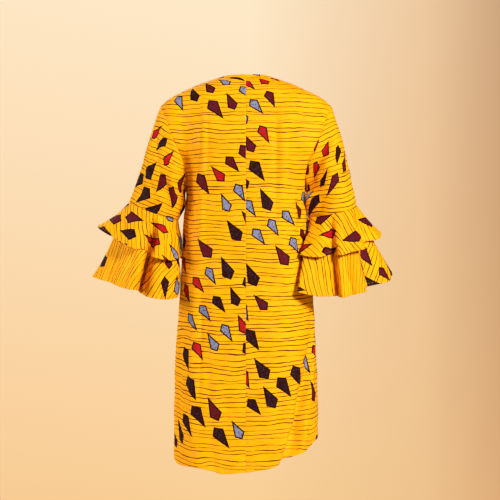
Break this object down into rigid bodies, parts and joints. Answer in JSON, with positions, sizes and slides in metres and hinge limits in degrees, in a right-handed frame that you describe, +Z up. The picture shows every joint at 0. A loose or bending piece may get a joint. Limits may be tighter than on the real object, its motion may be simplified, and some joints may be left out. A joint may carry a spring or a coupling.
{
  "type": "long coat",
  "caption": "Long straight coat of printed cotton, open down the front, with a round neck, a centre back seam and elbow-length sleeves that end in layered flared flounces.",
  "frame": {"origin": "in the neck opening, midway between the points where the shoulder seams meet the neck", "axes": "+Z up, +Y behind the wearer, +X at the wearer's left"},
  "size_m": [0.752, 0.3071, 0.9619],
  "materials": {
    "back_left": "plain-woven cotton with a printed pattern, matt",
    "back_right": "plain-woven cotton with a printed pattern, matt",
    "front_left": "plain-woven cotton with a printed pattern, matt",
    "front_right": "plain-woven cotton with a printed pattern, matt",
    "sleeve_left": "plain-woven cotton with a printed pattern, matt",
    "sleeve_right": "plain-woven cotton with a printed pattern, matt",
    "lower_flounce_left": "plain-woven cotton with a printed pattern, matt",
    "lower_flounce_right": "plain-woven cotton with a printed pattern, matt",
    "upper_flounce_left": "plain-woven cotton with a printed pattern, matt",
    "upper_flounce_right": "plain-woven cotton with a printed pattern, matt"
  },
  "bodies": {
    "root": {"back_left": "back_left", "back_right": "back_right", "front_left": "front_left", "front_right": "front_right", "sleeve_left": "sleeve_left", "sleeve_right": "sleeve_right", "lower_flounce_left": "lower_flounce_left", "lower_flounce_right": "lower_flounce_right", "upper_flounce_left": "upper_flounce_left", "upper_flounce_right": "upper_flounce_right"}
  },
  "joints": []
}
